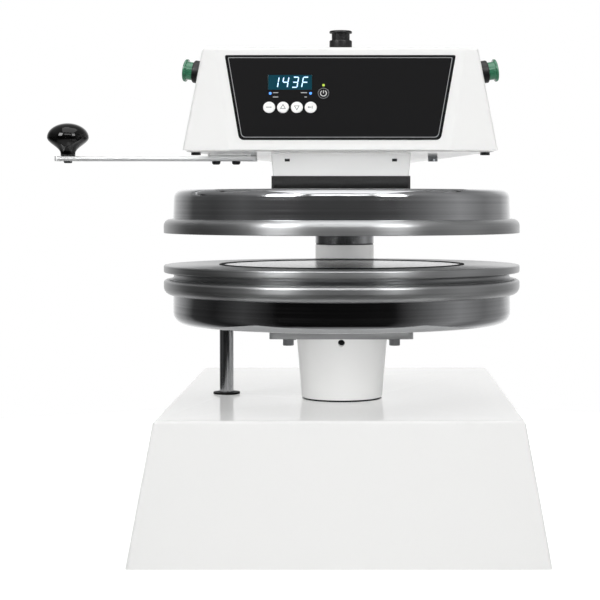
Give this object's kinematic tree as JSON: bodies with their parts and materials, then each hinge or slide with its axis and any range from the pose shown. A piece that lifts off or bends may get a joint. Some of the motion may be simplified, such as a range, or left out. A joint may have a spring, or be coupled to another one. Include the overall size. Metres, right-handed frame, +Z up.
{
  "type": "pizza dough press",
  "caption": "Bench-top dough press: a flared base with an air-lifted round platen, and a heated upper platen under a faceted head that swings aside on a rear column.",
  "frame": {"origin": "on the press axis, at the level of the bench that the base stands on", "axes": "+X to the right of the person in front, +Y to the rear, +Z up"},
  "size_m": [0.635, 0.7025, 0.6499],
  "materials": {
    "white_paint": "gloss powder coat",
    "platen_metal": "polished",
    "polished_sheet": "polished",
    "bright_steel": "ground",
    "dark_iron": "as cast",
    "dark_paint": "matt",
    "dark_fastener": "black oxide",
    "plated_fastener": "zinc plated",
    "bearing_bronze": "turned",
    "plain_aluminium": "machined",
    "black_gloss": "gloss",
    "black_matt": "matt",
    "seal_rubber": "matt",
    "green_plastic": "gloss",
    "key_white": "satin",
    "panel_film": "satin film",
    "display_plastic": "gloss",
    "lamp_plastic": "gloss",
    "board_laminate": "matt",
    "insulation": "matt",
    "heater_sheath": "oxidised"
  },
  "bodies": {
    "base": {"base_housing": "white_paint", "base_floor": "dark_paint", "base_screws": "plated_fastener", "column_foot": "dark_iron", "column_bolts": "plated_fastener", "column_tube": "white_paint", "swing_bushes": "bearing_bronze", "thrust_washer": "dark_fastener", "cylinder_lower_cap": "plain_aluminium", "cylinder_barrel": "bright_steel", "cylinder_upper_cap": "plain_aluminium", "cylinder_tie_rods": "plated_fastener", "guide_bush": "black_matt", "air_valve": "black_matt", "air_tubes": "black_matt", "air_inlet": "bearing_bronze", "power_inlet": "black_matt"},
    "lift": {"piston": "plain_aluminium", "piston_seal": "seal_rubber", "piston_rod": "bright_steel", "lift_hub": "white_paint", "hub_set_screw": "dark_fastener", "platen_bracket": "bright_steel", "bracket_bolts": "plated_fastener", "lower_platen_pan": "polished_sheet", "lower_platen_plate": "platen_metal", "guide_rod": "bright_steel"},
    "head": {"swing_shaft": "bright_steel", "shaft_sleeve": "bright_steel", "shaft_retainer": "dark_iron", "head_arm": "dark_iron", "head_cover": "white_paint", "head_floor": "white_paint", "head_bolts": "dark_fastener", "control_panel": "panel_film", "display_window": "display_plastic", "indicator_lamps": "lamp_plastic", "control_board": "board_laminate", "neck_housing": "white_paint", "platen_hanger": "dark_iron", "insulator_block": "insulation", "upper_platen_cover": "polished_sheet", "upper_platen_plate": "platen_metal", "heater_element": "heater_sheath", "temperature_probe": "bright_steel", "platen_studs": "plated_fastener", "handle_bar": "bright_steel", "handle_spacer": "bright_steel", "handle_bolts": "dark_fastener", "handle_knob": "black_gloss", "button_bezels": "black_gloss", "button_contacts": "black_matt"},
    "left_palm_button": {"left_palm_button": "green_plastic"},
    "right_palm_button": {"right_palm_button": "green_plastic"},
    "top_button": {"top_button": "black_gloss"},
    "key_menu": {"key_menu": "key_white"},
    "key_up": {"key_up": "key_white"},
    "key_down": {"key_down": "key_white"},
    "key_enter": {"key_enter": "key_white"},
    "key_power": {"key_power": "panel_film"}
  },
  "joints": [
    {"name": "head_swing", "type": "hinge", "parent": "base", "child": "head", "pos_m": [0, 0.292, 0], "axis": [0, 0, 1], "range_deg": [0, 95]},
    {"name": "platen_lift", "type": "slide", "parent": "base", "child": "lift", "axis": [0, 0, 1], "range_m": [0, 0.04]},
    {"name": "left_palm_button_press", "type": "slide", "parent": "head", "child": "left_palm_button", "axis": [0.9772, -0.1501, -0.1502], "range_m": [0, 0.005], "stiffness_N_per_m": 800, "springref_m": -0.001},
    {"name": "right_palm_button_press", "type": "slide", "parent": "head", "child": "right_palm_button", "axis": [-0.9772, -0.1501, -0.1502], "range_m": [0, 0.005], "stiffness_N_per_m": 800, "springref_m": -0.001},
    {"name": "top_button_press", "type": "slide", "parent": "head", "child": "top_button", "axis": [0, 0, -1], "range_m": [0, 0.005], "stiffness_N_per_m": 800, "springref_m": -0.001},
    {"name": "key_menu_press", "type": "slide", "parent": "head", "child": "key_menu", "axis": [0, 0.9688, -0.2478], "range_m": [0, 0.0006], "stiffness_N_per_m": 1500, "springref_m": -0.0003},
    {"name": "key_up_press", "type": "slide", "parent": "head", "child": "key_up", "axis": [0, 0.9688, -0.2478], "range_m": [0, 0.0006], "stiffness_N_per_m": 1500, "springref_m": -0.0003},
    {"name": "key_down_press", "type": "slide", "parent": "head", "child": "key_down", "axis": [0, 0.9688, -0.2478], "range_m": [0, 0.0006], "stiffness_N_per_m": 1500, "springref_m": -0.0003},
    {"name": "key_enter_press", "type": "slide", "parent": "head", "child": "key_enter", "axis": [0, 0.9688, -0.2478], "range_m": [0, 0.0006], "stiffness_N_per_m": 1500, "springref_m": -0.0003},
    {"name": "key_power_press", "type": "slide", "parent": "head", "child": "key_power", "axis": [0, 0.9688, -0.2478], "range_m": [0, 0.0006], "stiffness_N_per_m": 1500, "springref_m": -0.0003}
  ]
}
